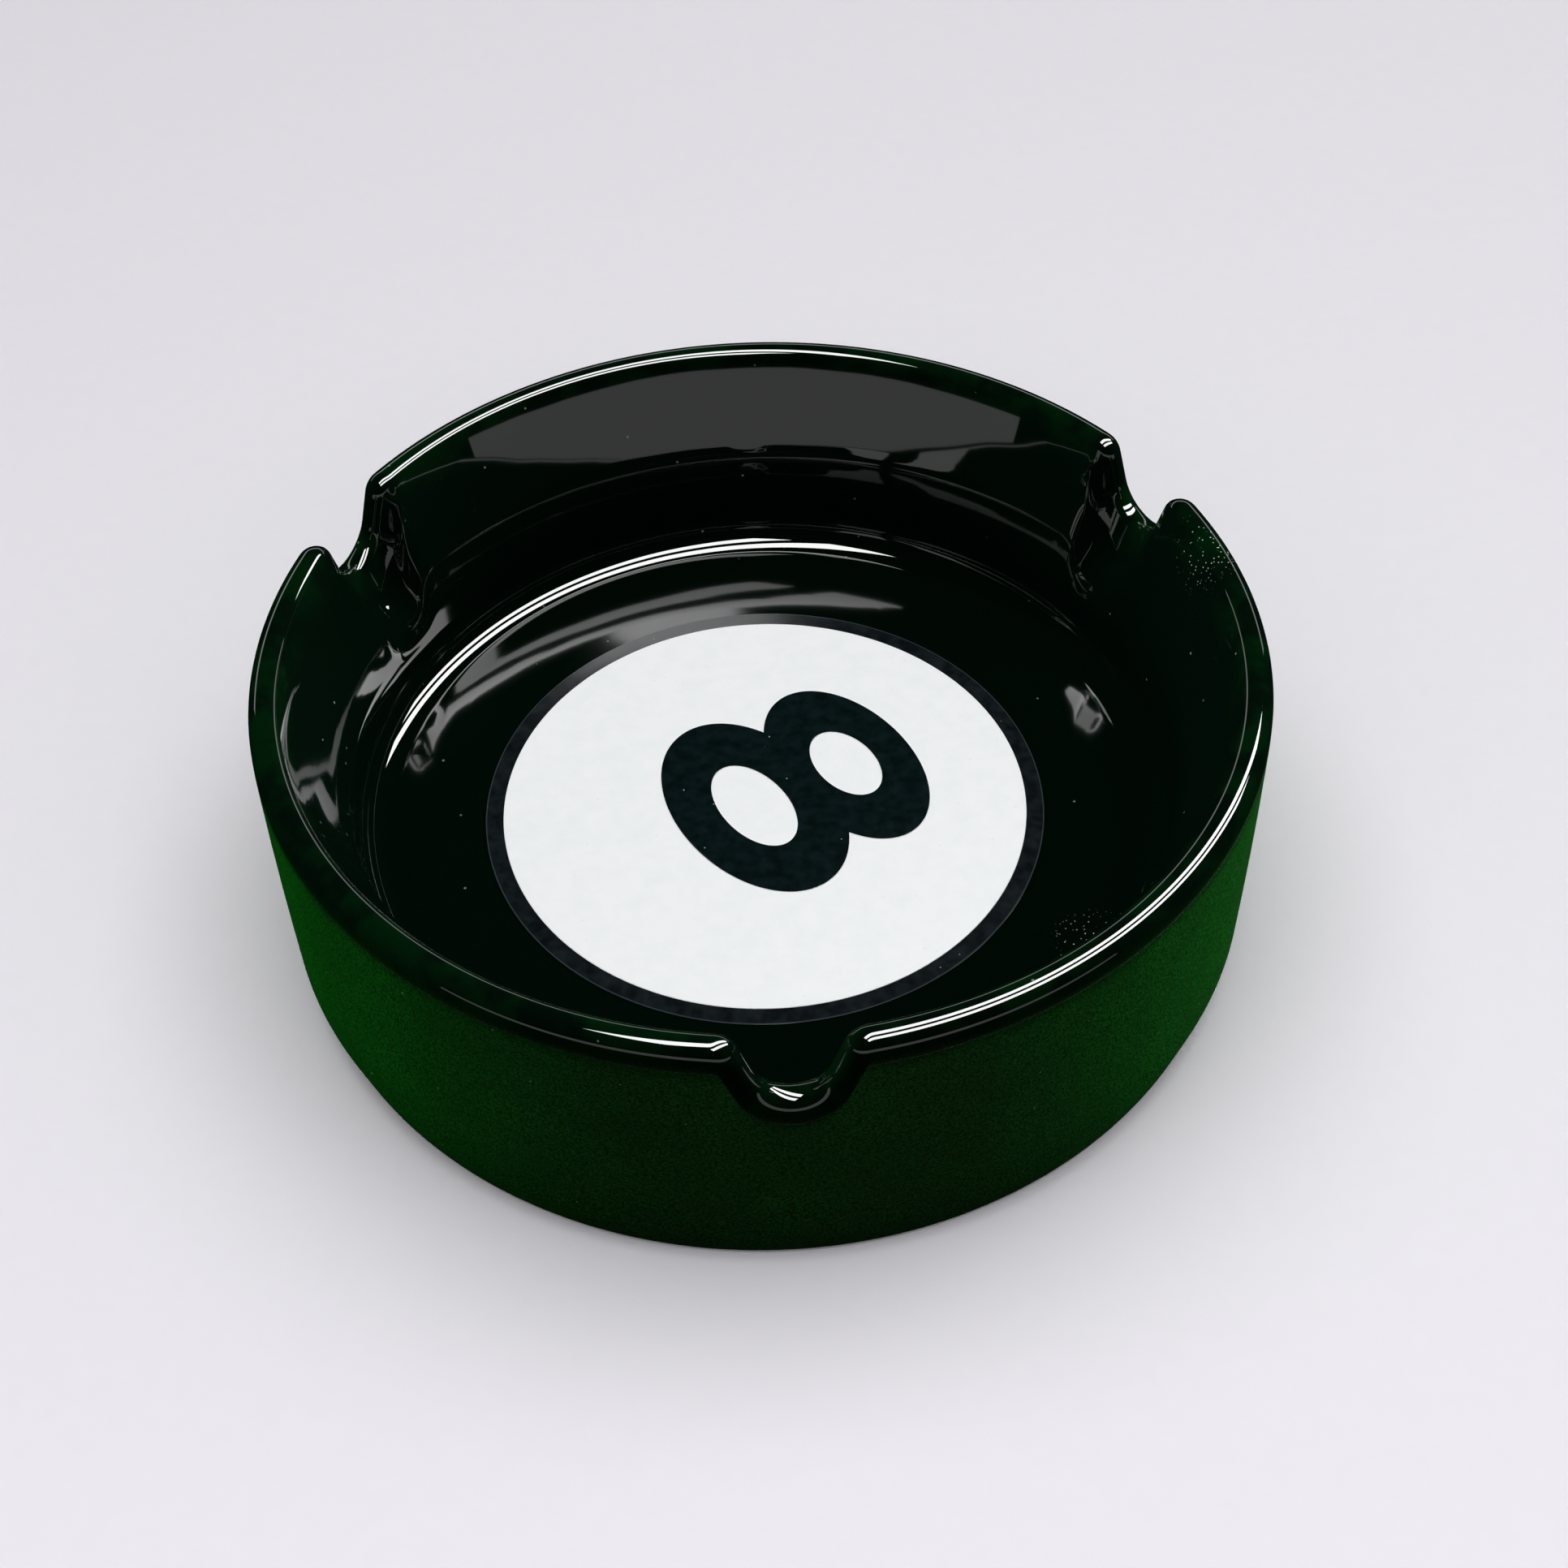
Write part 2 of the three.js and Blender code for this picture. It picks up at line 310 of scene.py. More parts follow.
@dataclass(frozen=True)
class BowlShape:
    """Sizes of the glass and of the rests pressed into its rim, in millimetres."""

    rim_radius: float
    height: float
    coat_low: float
    coat_high: float
    floor: float = FLOOR_HEIGHT
    foot_radius: float = 57.8
    foot_round: float = 0.4
    bevel_top_radius: float = 59.4
    bevel_top: float = 5.6
    wall_bulge: float = 0.15
    wall_rows: tuple[float, ...] = (12.0, 19.0, 26.0)
    recess_radius: float = 50.0
    recess_depth: float = 0.9
    recess_slope: float = 1.2
    rim_outer_round: float = 2.3
    rim_inner_round: float = 1.5
    flare_lean: float = 23.5
    lower_lean: float = 0.7
    bend_height: float = 24.0
    bend_reach: float = 3.5
    fillet_radius: float = 4.0
    coat_thickness: float = 0.3
    coat_gap: float = 0.02
    coat_taper: float = 1.8
    coat_edge: float = 0.02
    rests: int = 3
    first_rest: float = -90.0
    rest_depth: float = 8.6
    rest_bottom_round: float = 4.3
    rest_shoulder_round: float = 2.9
    rest_side_slope: float = 70.0
    rest_arc_radius: float = 57.8
    spray_start: float = 0.9
    spray_full: float = 5.2
    lip_depth: float = 2.3
    lip_fade: float = 9.0
    dip_fade_low: float = 16.0
    dip_fade_high: float = 35.5
    crowding: float = 0.55
    outside_margin: float = 0.05
    steps: int = 720

    def wall_radius(self, z: float) -> float:
        """Radius of the finished outside wall at a height."""
        if z < self.bevel_top:
            share = z / self.bevel_top
            return self.foot_radius + (self.bevel_top_radius - self.foot_radius) * share
        share = (z - self.bevel_top) / (self.height - self.rim_outer_round - self.bevel_top)
        bulge = self.wall_bulge * 4 * share * max(1 - share, 0)
        return self.bevel_top_radius + (self.rim_radius - self.bevel_top_radius) * min(share, 1) + bulge

    def coat_inset(self, z: float) -> float:
        """How far the glass lies inside the finished wall at a height, to hold the coat."""
        share = min(max((self.coat_high - z) / self.coat_taper, 0), 1)
        return self.coat_edge + self.coat_gap + (self.coat_thickness - self.coat_edge) * share

    def corner_reach(self, radius: float, lean: float) -> float:
        """How far a rounding reaches along a level surface and a wall that leans from upright."""
        return radius * math.tan(math.radians(90 - lean) / 2)

    @property
    def rim_inner_radius(self) -> float:
        """Radius where the rim's level top would meet the flare."""
        top = self.rim_radius - self.rim_outer_round
        return top - self.corner_reach(self.rim_inner_round, self.flare_lean)

    @property
    def bend_radius(self) -> float:
        """Radius where the flare would meet the lower wall."""
        fall = self.height - self.bend_height
        return self.rim_inner_radius - fall * math.tan(math.radians(self.flare_lean))

    @property
    def wall_foot_radius(self) -> float:
        """Radius where the lower wall would meet the floor."""
        fall = self.bend_height - self.floor
        return self.bend_radius - fall * math.tan(math.radians(self.lower_lean))

    def rest_curve(self, along: float) -> tuple[float, float]:
        """Follows the rim across a rest: a round bottom, straight sides and round shoulders.

        Args:
            along: Distance from the middle of the rest along the rim, in millimetres.

        Returns:
            How far the rim dips there, and how steeply it climbs away from the middle.
        """
        slope = math.radians(self.rest_side_slope)
        rounds = self.rest_bottom_round + self.rest_shoulder_round
        side = (self.rest_depth - rounds * (1 - math.cos(slope))) / math.sin(slope)
        bottom_end = self.rest_bottom_round * math.sin(slope)
        half_width = rounds * math.sin(slope) + side * math.cos(slope)
        if along < bottom_end:
            drop = math.sqrt(self.rest_bottom_round**2 - along**2)
            return self.rest_depth - self.rest_bottom_round + drop, along / drop
        if along < bottom_end + side * math.cos(slope):
            climbed = self.rest_bottom_round * (1 - math.cos(slope))
            climbed += (along - bottom_end) * math.tan(slope)
            return self.rest_depth - climbed, math.tan(slope)
        if along < half_width:
            left = half_width - along
            drop = math.sqrt(self.rest_shoulder_round**2 - left**2)
            return self.rest_shoulder_round - drop, left / drop
        return 0.0, 0.0

    def crowded(self, azimuth: float) -> float:
        """Azimuth of a segment once the segments are crowded towards the rests."""
        from_rest = azimuth - math.radians(self.first_rest)
        return azimuth - self.crowding / self.rests * math.sin(self.rests * from_rest)

    def press_rests(self, bm: bmesh.types.BMesh) -> None:
        """Presses the three rests into whatever reaches the rim, and marks each vertex.

        The rounded lip turns with the rim's curve, and the wall below it eases back to upright.

        Args:
            bm: Spun mesh of the glass or its coat.
        """
        below_rim = bm.verts.layers.float.new(Mark.BELOW_RIM.value)
        overspray = bm.verts.layers.float.new(Mark.OVERSPRAY.value)
        pitch = FULL_TURN / self.rests
        for vert in bm.verts:
            radius = math.hypot(vert.co.x, vert.co.y)
            azimuth = self.crowded(math.atan2(vert.co.y, vert.co.x))
            turns = (azimuth - math.radians(self.first_rest)) / pitch
            offset = (turns - round(turns)) * pitch * self.rest_arc_radius
            dip, climb = self.rest_curve(abs(offset))
            z = vert.co.z / MM
            depth = self.height - z
            fade = (z - self.dip_fade_low) / (self.dip_fade_high - self.dip_fade_low)
            upright = z - dip * min(max(fade, 0), 1)
            turned = self.height - dip - depth / math.hypot(1, climb)
            share = 1 - smoothstep(depth, self.lip_depth, self.lip_fade)
            sideways = min(depth, self.lip_depth) * share * climb / math.hypot(1, climb)
            azimuth += math.copysign(sideways, offset) / self.rest_arc_radius
            height = upright + (turned - upright) * share
            vert.co = (radius * math.cos(azimuth), radius * math.sin(azimuth), height * MM)
            vert[below_rim] = depth
            outer = radius / MM > self.rim_radius - self.rim_outer_round + self.outside_margin
            vert[overspray] = smoothstep(depth, self.spray_start, self.spray_full) if outer else 0.0


# ---- Finishes ---------------------------------------------------------------------------------


@dataclass(frozen=True)
class DarkGlass:
    """Bottle-green pressed glass, so deep that it looks black except along thin edges."""

    deep: str = "#020A05"
    painted_edge_glow: str = "#021606"
    overspray: str = "#023404"
    bubble_glint: str = "#75857C"
    patch_size: float = 6.0
    patch_from: float = 0.42
    patch_full: float = 0.62
    edge_depth: float = 4.5
    polished: float = 0.03
    dusted: float = 0.5
    full_dust: float = 0.5
    refraction: float = 1.52
    wave_length: float = 12.0
    wave_height: float = 0.03
    grain_size: float = 0.3
    grain_height: float = 0.03
    floor_height: float = FLOOR_HEIGHT
    floor_satin: float = 0.06
    floor_skin: float = 0.02
    floor_fade: float = 0.25
    bubble_pitch: float = 4.2
    bubble_size: float = 0.2
    worn_spots: tuple[tuple[tuple[float, float, float], float], ...] = (
        ((37.5, -25.0, 12.2), 6.0),
        ((56.0, 14.0, 38.0), 7.0),
    )
    worn_core: float = 0.1
    scuff: str = "#C9D2CC"
    scuff_pitch: float = 0.55
    scuff_size: float = 0.11

    def material(self) -> bpy.types.Material:
        """Builds the finish.

        Fire-polished glass gives the eye sharp but slightly wavy reflections, and a few tiny bubbles
        drawn as pale dots, a painted glint. A green glow is painted near the rim where the light
        would get through the thin glass. Under the rim the outside takes on the dust of the sprayed
        coat.
        """
        material, tree = new_material("fire_polished_dark_green_glass")
        place = add_node(tree, "TexCoord").outputs["Object"]
        depth = add_node(tree, "Attribute", attribute_name=Mark.BELOW_RIM.value).outputs["Fac"]
        spray = add_node(tree, "Attribute", attribute_name=Mark.OVERSPRAY.value).outputs["Fac"]
        # Painted light: a green glow painted into the glass colour in patches near the rim, standing in
        # for light shining through the thin glass there.
        patches = add_node(
            tree, "TexNoise", {"Vector": place, "Scale": 1 / (self.patch_size * MM), "Detail": 3.0}
        )
        patch = add_node(
            tree,
            "MapRange",
            {"Value": patches.outputs[0], "From Min": self.patch_from, "From Max": self.patch_full},
            interpolation_type="SMOOTHSTEP",
        )
        near_rim = add_node(
            tree,
            "MapRange",
            {"Value": depth, "From Min": 0.0, "From Max": self.edge_depth, "To Min": 1.0, "To Max": 0.0},
        )
        glow = add_node(
            tree, "Math", {0: patch.outputs[0], 1: near_rim.outputs[0]}, operation="MULTIPLY"
        )
        glass = add_node(
            tree,
            "Mix",
            {"Factor": glow.outputs[0], 6: linear(self.deep), 7: linear(self.painted_edge_glow)},
            data_type="RGBA",
        )
        grain = add_node(
            tree, "TexNoise", {"Vector": place, "Scale": 1 / (self.grain_size * MM), "Detail": 2.0}
        )
        dusty = add_node(tree, "MapRange", {"Value": grain.outputs[0], **DUSTING})
        dust = add_node(tree, "Math", {0: spray, 1: dusty.outputs[0]}, operation="MULTIPLY")
        coated = add_node(
            tree,
            "Mix",
            {"Factor": dust.outputs[0], 6: glass.outputs[2], 7: linear(self.overspray)},
            data_type="RGBA",
        )
        # Seed bubbles drawn as pale dots: the bubbles are real, but their paleness is a painted glint.
        bubble_glints = scattered_dots(
            tree, place, self.bubble_pitch, self.bubble_size, core=0.4, strength=0.8
        )
        colour = add_node(
            tree,
            "Mix",
            {"Factor": bubble_glints, 6: coated.outputs[2], 7: linear(self.bubble_glint)},
            data_type="RGBA",
        )
        pitted = scattered_dots(
            tree, place, self.scuff_pitch, self.scuff_size, core=0.4, strength=0.9
        )
        finish = colour
        for centre, reach_mm in self.worn_spots:
            away = add_node(
                tree, "VectorMath", {0: place, 1: [v * MM for v in centre]}, operation="DISTANCE"
            )
            worn = add_node(
                tree,
                "MapRange",
                {
                    "Value": away.outputs["Value"],
                    "From Min": reach_mm * self.worn_core * MM,
                    "From Max": reach_mm * MM,
                    "To Min": 1.0,
                    "To Max": 0.0,
                },
                interpolation_type="SMOOTHERSTEP",
            )
            here = add_node(
                tree, "Math", {0: worn.outputs[0], 1: pitted}, operation="MULTIPLY"
            )
            finish = add_node(
                tree,
                "Mix",
                {"Factor": here.outputs[0], 6: finish.outputs[2], 7: linear(self.scuff)},
                data_type="RGBA",
            )
        gloss = add_node(
            tree,
            "MapRange",
            {
                "Value": dust.outputs[0],
                "From Max": self.full_dust,
                "To Min": self.polished,
                "To Max": self.dusted,
            },
        )
        level = add_node(tree, "SeparateXYZ", {"Vector": place})
        floor_blur = add_node(
            tree,
            "MapRange",
            {
                "Value": level.outputs["Z"],
                "From Min": (self.floor_height + self.floor_skin) * MM,
                "From Max": (self.floor_height + self.floor_fade) * MM,
                "To Min": self.floor_satin,
                "To Max": 0.0,
            },
        )
        roughness = add_node(
            tree, "Math", {0: gloss.outputs[0], 1: floor_blur.outputs[0]}, operation="MAXIMUM"
        )
        waves = add_node(
            tree, "TexNoise", {"Vector": place, "Scale": 1 / (self.wave_length * MM), "Detail": 1.0}
        )
        wavy = add_node(
            tree,
            "Bump",
            {"Height": waves.outputs[0], "Strength": 1.0, "Distance": self.wave_height * MM},
        )
        grit = add_node(
            tree, "Math", {0: grain.outputs[0], 1: dust.outputs[0]}, operation="MULTIPLY"
        )
        relief = add_node(
            tree,
            "Bump",
            {
                "Height": grit.outputs[0],
                "Strength": 1.0,
                "Distance": self.grain_height * MM,
                "Normal": wavy.outputs[0],
            },
        )
        shader = add_node(
            tree,
            "BsdfPrincipled",
            {
                "Base Color": finish.outputs[2],
                "Roughness": roughness.outputs[0],
                "Normal": relief.outputs[0],
                "IOR": self.refraction,
            },
        )
        finish_shader(tree, shader)
        return material


@dataclass(frozen=True)
class SatinLacquer:
    """Green lacquer sprayed thin over the dark glass."""

    body: str = "#023A04"
    cloud: str = "#056008"
    thin: str = "#021205"
    speck: str = "#8FA890"
    cloud_size: float = 9.0
    cloud_full: float = 1.1
    grain_from: float = 0.4
    grain_full: float = 0.6
    grain_size: float = 0.3
    grain_height: float = 0.03
    thin_roughness: float = 0.25
    full_roughness: float = 0.6
    refraction: float = 1.5
    sheen_level: float = 0.15
    speck_pitch: float = 4.0
    speck_size: float = 0.16

    def material(self) -> bpy.types.Material:
        """Builds the finish.

        The real spray grain is finer than 0.3 mm, and is drawn as coarse as it needs to show.
        A sprayed satin film gives the eye a fine even grain with soft clouds, a few dust specks,
        and dark glass showing through where the spray thins out below the rim.
        """
        material, tree = new_material("satin_green_spray_lacquer")
        place = add_node(tree, "TexCoord").outputs["Object"]
        spray = add_node(tree, "Attribute", attribute_name=Mark.OVERSPRAY.value).outputs["Fac"]
        clouds = add_node(
            tree, "TexNoise", {"Vector": place, "Scale": 1 / (self.cloud_size * MM), "Detail": 4.0}
        )
        cloudy = add_node(
            tree, "MapRange", {"Value": clouds.outputs[0], "From Min": 0.0, "From Max": self.cloud_full}
        )
        grain = add_node(
            tree, "TexNoise", {"Vector": place, "Scale": 1 / (self.grain_size * MM), "Detail": 3.0}
        )
        grainy = add_node(
            tree,
            "MapRange",
            {"Value": grain.outputs[0], "From Min": self.grain_from, "From Max": self.grain_full},
        )
        mottled = add_node(
            tree,
            "Math",
            {0: cloudy.outputs[0], 1: grainy.outputs[0]},
            operation="MULTIPLY",
        )
        full = add_node(
            tree,
            "Mix",
            {"Factor": mottled.outputs[0], 6: linear(self.body), 7: linear(self.cloud)},
            data_type="RGBA",
        )
        dusty = add_node(tree, "MapRange", {"Value": grain.outputs[0], **DUSTING})
        cover = add_node(tree, "Math", {0: spray, 1: dusty.outputs[0]}, operation="MULTIPLY")
        lacquer = add_node(
            tree,
            "Mix",
            {"Factor": cover.outputs[0], 6: linear(self.thin), 7: full.outputs[2]},
            data_type="RGBA",
        )
        specks = scattered_dots(
            tree, place, self.speck_pitch, self.speck_size, core=0.5, strength=0.5
        )
        colour = add_node(
            tree,
            "Mix",
            {"Factor": specks, 6: lacquer.outputs[2], 7: linear(self.speck)},
            data_type="RGBA",
        )
        gloss = add_node(
            tree,
            "MapRange",
            {
                "Value": cover.outputs[0],
                "To Min": self.thin_roughness,
                "To Max": self.full_roughness,
            },
        )
        relief = add_node(
            tree,
            "Bump",
            {"Height": grain.outputs[0], "Strength": 1.0, "Distance": self.grain_height * MM},
        )
        shader = add_node(
            tree,
            "BsdfPrincipled",
            {
                "Base Color": colour.outputs[2],
                "Roughness": gloss.outputs[0],
                "Normal": relief.outputs[0],
                "IOR": self.refraction,
                "Specular IOR Level": self.sheen_level,
            },
        )
        finish_shader(tree, shader)
        return material


@dataclass(frozen=True)
class PrintedInk:
    """One layer of screen-printed ink, with a faint mottle, pinholes and an optional painted highlight
    line at its cut edge.
    """

    name: str
    body: str
    mottle: str
    speck: str
    roughness: float
    refraction: float = 1.5
    smoothest: float = 0.8
    roughest: float = 1.3
    mottle_from: float = 0.35
    mottle_full: float = 0.7
    mottle_size: float = 1.6
    speck_pitch: float = 2.6
    speck_size: float = 0.14
    edge_radius: float = 100.0
    edge_width: float = 0.2
    painted_edge_highlight: str = "#333C40"

    def material(self) -> bpy.types.Material:
        """Builds the finish.

        Printed ink gives the eye an even film with small blotches, and pinholes where a grain of
        dust kept it off. A thin grey line is painted along the film's cut edge, a painted highlight for
        where the edge would catch the light.
        """
        material, tree = new_material(self.name)
        place = add_node(tree, "TexCoord").outputs["Object"]
        blotches = add_node(
            tree, "TexNoise", {"Vector": place, "Scale": 1 / (self.mottle_size * MM), "Detail": 5.0}
        )
        blotch = add_node(
            tree,
            "MapRange",
            {
                "Value": blotches.outputs[0],
                "From Min": self.mottle_from,
                "From Max": self.mottle_full,
            },
        )
        film = add_node(
            tree,
            "Mix",
            {"Factor": blotch.outputs[0], 6: linear(self.body), 7: linear(self.mottle)},
            data_type="RGBA",
        )
        holes = scattered_dots(
            tree, place, self.speck_pitch, self.speck_size, core=0.5, strength=0.7
        )
        speckled = add_node(
            tree,
            "Mix",
            {"Factor": holes, 6: film.outputs[2], 7: linear(self.speck)},
            data_type="RGBA",
        )
        flat = add_node(tree, "VectorMath", {0: place, 1: (1, 1, 0)}, operation="MULTIPLY")
        radius = add_node(tree, "VectorMath", {0: flat.outputs[0]}, operation="LENGTH")
        # Painted highlight: a thin grey line painted just inside the film's cut edge.
        edge = add_node(
            tree,
            "MapRange",
            {
                "Value": radius.outputs["Value"],
                "From Min": (self.edge_radius - self.edge_width) * MM,
                "From Max": (self.edge_radius - self.edge_width / 2) * MM,
            },
        )
        colour = add_node(
            tree,
            "Mix",
            {"Factor": edge.outputs[0], 6: speckled.outputs[2], 7: linear(self.painted_edge_highlight)},
            data_type="RGBA",
        )
        gloss = add_node(
            tree,
            "MapRange",
            {
                "Value": blotches.outputs[0],
                "To Min": self.roughness * self.smoothest,
                "To Max": self.roughness * self.roughest,
            },
        )
        shader = add_node(
            tree,
            "BsdfPrincipled",
            {
                "Base Color": colour.outputs[2],
                "Roughness": gloss.outputs[0],
                "IOR": self.refraction,
            },
        )
        finish_shader(tree, shader)
        return material


@dataclass(frozen=True)
class StudioPaper:
    """Matt paper on the studio floor and backdrop."""

    body: str = "#DBD9DF"
    fibre: str = "#D8D6DC"
    fibre_size: float = 3.0
    roughness: float = 0.9
    glow_from: float = 0.45
    glow_to: float = 1.7
    glow: float = 0.8

    def material(self) -> bpy.types.Material:
        """Builds the finish, which gets paler far out, like a backdrop with its own light."""
        material, tree = new_material("matt_studio_paper")
        place = add_node(tree, "TexCoord").outputs["Object"]
        fibres = add_node(tree, "TexNoise", {"Vector": place, "Scale": 1 / (self.fibre_size * MM)})
        colour = add_node(
            tree,
            "Mix",
            {"Factor": fibres.outputs[0], 6: linear(self.body), 7: linear(self.fibre)},
            data_type="RGBA",
        )
        away = add_node(tree, "VectorMath", {0: place}, operation="LENGTH")
        glow = add_node(
            tree,
            "MapRange",
            {
                "Value": away.outputs["Value"],
                "From Min": self.glow_from,
                "From Max": self.glow_to,
                "To Max": self.glow,
            },
            interpolation_type="SMOOTHSTEP",
        )
        shader = add_node(
            tree,
            "BsdfPrincipled",
            {
                "Base Color": colour.outputs[2],
                "Roughness": self.roughness,
                "Emission Color": linear(self.body),
                "Emission Strength": glow.outputs[0],
            },
        )
        finish_shader(tree, shader)
        return material


# ---- Sub-assemblies ---------------------------------------------------------------------------


@dataclass
class GlassBowl:
    """The pressed glass: foot ring, wall, rounded rim with its rests, and thick floor."""

    shape: BowlShape
    finish: DarkGlass = field(default_factory=DarkGlass)
    rim_segments: int = 12
    fillet_segments: int = 16
    row_pitch: float = 1.3

    def outline(self) -> list[tuple[float, float]]:
        """Corners of half the glass, from the axis underneath, up the outside and back."""
        s = self.shape
        foot = s.foot_radius - s.foot_round - s.coat_inset(0)
        wall_heights = (s.foot_round, s.bevel_top, *s.wall_rows, s.coat_high - s.coat_taper)
        return [
            (0, s.recess_depth),
            (s.recess_radius, s.recess_depth),
            (s.recess_radius + s.recess_slope, 0),
            (foot, 0),
            *((s.wall_radius(z) - s.coat_inset(z), z) for z in wall_heights),
            (s.rim_radius - s.coat_inset(s.coat_high), s.coat_high),
            (s.rim_radius, s.height),
            (s.rim_inner_radius, s.height),
            (s.bend_radius, s.bend_height),
            (s.wall_foot_radius, s.floor),
            (0, s.floor),
        ]

    def build(self) -> bpy.types.Object:
        """Builds the glass.

        Returns:
            The finished piece.
        """
        s = self.shape
        bm = spun(self.outline(), s.steps, closed=False)
        inner = s.corner_reach(s.rim_inner_round, s.flare_lean)
        fillet = s.corner_reach(s.fillet_radius, s.lower_lean)
        rounded = [
            (s.rim_radius, s.height, s.rim_outer_round, self.rim_segments),
            (s.rim_inner_radius, s.height, inner, self.rim_segments),
            (s.bend_radius, s.bend_height, s.bend_reach, self.rim_segments),
            (s.wall_foot_radius, s.floor, fillet, self.fillet_segments),
        ]
        for radius, z, offset, segments in rounded:
            round_ring(bm, radius, z, offset, segments)
        rows = int((s.dip_fade_high - s.dip_fade_low) / self.row_pitch) + 1
        cut_levels(bm, [s.dip_fade_low + self.row_pitch * i for i in range(rows)] + [s.dip_fade_high])
        s.press_rests(bm)
        return make_piece(bm, "glass_body", "glass_bowl", [self.finish.material()])


@dataclass
class OuterCoat:
    """The satin coat sprayed on the outside wall, thinning out below the rim."""

    shape: BowlShape
    finish: SatinLacquer = field(default_factory=SatinLacquer)
    row_pitch: float = 1.3

    def build(self) -> bpy.types.Object:
        """Builds the coat.

        Returns:
            The finished piece.
        """
        s = self.shape
        top_rows = (s.coat_high - s.coat_taper, s.coat_high - s.coat_gap)
        heights = (s.coat_low, s.bevel_top, *s.wall_rows, *top_rows)
        outer = [(s.wall_radius(z), z) for z in heights]
        inner = [(s.wall_radius(z) - s.coat_inset(z) + s.coat_gap, z) for z in reversed(heights)]
        bm = spun(outer + inner, s.steps, closed=True)
        rows = int((s.coat_high - s.dip_fade_low) / self.row_pitch)
        cut_levels(bm, [s.dip_fade_low + self.row_pitch * i for i in range(rows)])
        s.press_rests(bm)
        return make_piece(bm, "sprayed_coat", "outer_coat", [self.finish.material()])


@dataclass(frozen=True)
class Lobe:
    """One fat oval of the numeral with its hole; half sizes are along and across, in millimetres."""

    centre: float
    half: tuple[float, float]
    hole: tuple[float, float]


@dataclass
class FloorPrint:
    """The print on the bowl's floor: a dark border disc, a white disc and a numeral."""

    border_finish: PrintedInk
    white_finish: PrintedInk
    numeral_finish: PrintedInk
    axis_azimuth: float = 28.0
    shift: float = 0.4
    lower: Lobe = Lobe(-1.3, (9.9, 15.6), (4.3, 7.6))
    upper: Lobe = Lobe(12.2, (8.5, 14.2), (3.8, 6.1))
    disc_segments: int = 256
    lobe_segments: int = 400
    edge_round: float = 0.05
    sharp_from: float = 1.0

    def disc(self, node: str, name: str, finish: PrintedInk) -> bpy.types.Object:
        """Builds one disc of ink in the space of its node.

        Args:
            node: Node of the frame that the disc stands for.
            name: Name of the piece.
            finish: Finish of the disc.

        Returns:
            The finished piece.
        """
        low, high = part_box(node)
        bm = bmesh.new()
        bmesh.ops.create_cone(
            bm,
            cap_ends=True,
            segments=self.disc_segments,
            radius1=high[1],
            radius2=high[1],
            depth=high[2] - low[2],
        )
        bmesh.ops.translate(bm, verts=bm.verts, vec=(0, 0, (high[2] + low[2]) / 2))
        self.soften(bm)
        return make_piece(bm, name, node, [finish.material()])

    def soften(self, bm: bmesh.types.BMesh) -> None:
        """Chamfers the sharp edges of an ink layer a little."""
        sharp = [
            edge
            for edge in bm.edges
            if len(edge.link_faces) == 2 and edge.calc_face_angle() > self.sharp_from
        ]
        bmesh.ops.bevel(
            bm,
            geom=sharp,
            offset=self.edge_round * MM,
            offset_type="OFFSET",
            affect="EDGES",
            segments=1,
            profile=0.5,
            material=-1,
        )

    def oval(self, lobe: Lobe, half: tuple[float, float], start: float) -> list[tuple[float, float]]:
        """Walks round one oval of the numeral.

        Args:
            lobe: Lobe that the oval belongs to.
            half: Half sizes along and across.
            start: Angle of the first point, in turns.

        Returns:
            Points in millimetres, along and across the numeral.
        """
        angles = [FULL_TURN * (start + i / self.lobe_segments) for i in range(self.lobe_segments)]
        return [
            (lobe.centre + half[0] * math.cos(angle), self.shift + half[1] * math.sin(angle))
            for angle in angles
        ]

    def outside(self, points: list[tuple[float, float]], lobe: Lobe) -> list[tuple[float, float]]:
        """Keeps the points that lie outside a lobe."""
        half_along, half_across = lobe.half
        return [
            (along, across)
            for along, across in points
            if ((along - lobe.centre) / half_along) ** 2 + ((across - self.shift) / half_across) ** 2 > 1
        ]

    def numeral(self) -> bpy.types.Object:
        """Builds the numeral from two ovals joined at its waist, with an oval hole in each.

        Returns:
            The finished piece.
        """
        low, high = (corner[2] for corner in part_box("print_numeral"))
        lower = self.outside(self.oval(self.lower, self.lower.half, 0), self.upper)
        upper = self.outside(self.oval(self.upper, self.upper.half, -0.5), self.lower)
        flat = bpy.data.curves.new("numeral_outline", "CURVE")
        flat.dimensions = "2D"
        flat.fill_mode = "BOTH"
        flat.extrude = (high - low) / MM / 2 - self.edge_round
        flat.bevel_depth = self.edge_round
        flat.bevel_resolution = 0
        flat.offset = -self.edge_round
        holes = [self.oval(lobe, lobe.hole, 0) for lobe in (self.lower, self.upper)]
        for loop in (lower + upper, *holes):
            spline = flat.splines.new("POLY")
            spline.points.add(len(loop) - 1)
            for place, (along, across) in zip(spline.points, loop):
                place.co = (along, across, 0, 1)
            spline.use_cyclic_u = True
        loose = bpy.data.objects.new("numeral_outline", flat)
        bm = bmesh.new()
        bm.from_mesh(loose.to_mesh())
        loose.to_mesh_clear()
        bpy.data.curves.remove(flat)
        turn = Quaternion((0, 0, 1), math.radians(self.axis_azimuth)).to_matrix()
        bmesh.ops.rotate(bm, verts=bm.verts, cent=(0, 0, 0), matrix=turn)
        bmesh.ops.scale(bm, verts=bm.verts, vec=(MM, MM, MM))
        bmesh.ops.translate(bm, verts=bm.verts, vec=(0, 0, (low + high) / 2))
        finish = self.numeral_finish.material()
        return make_piece(bm, "numeral_ink", "print_numeral", [finish])

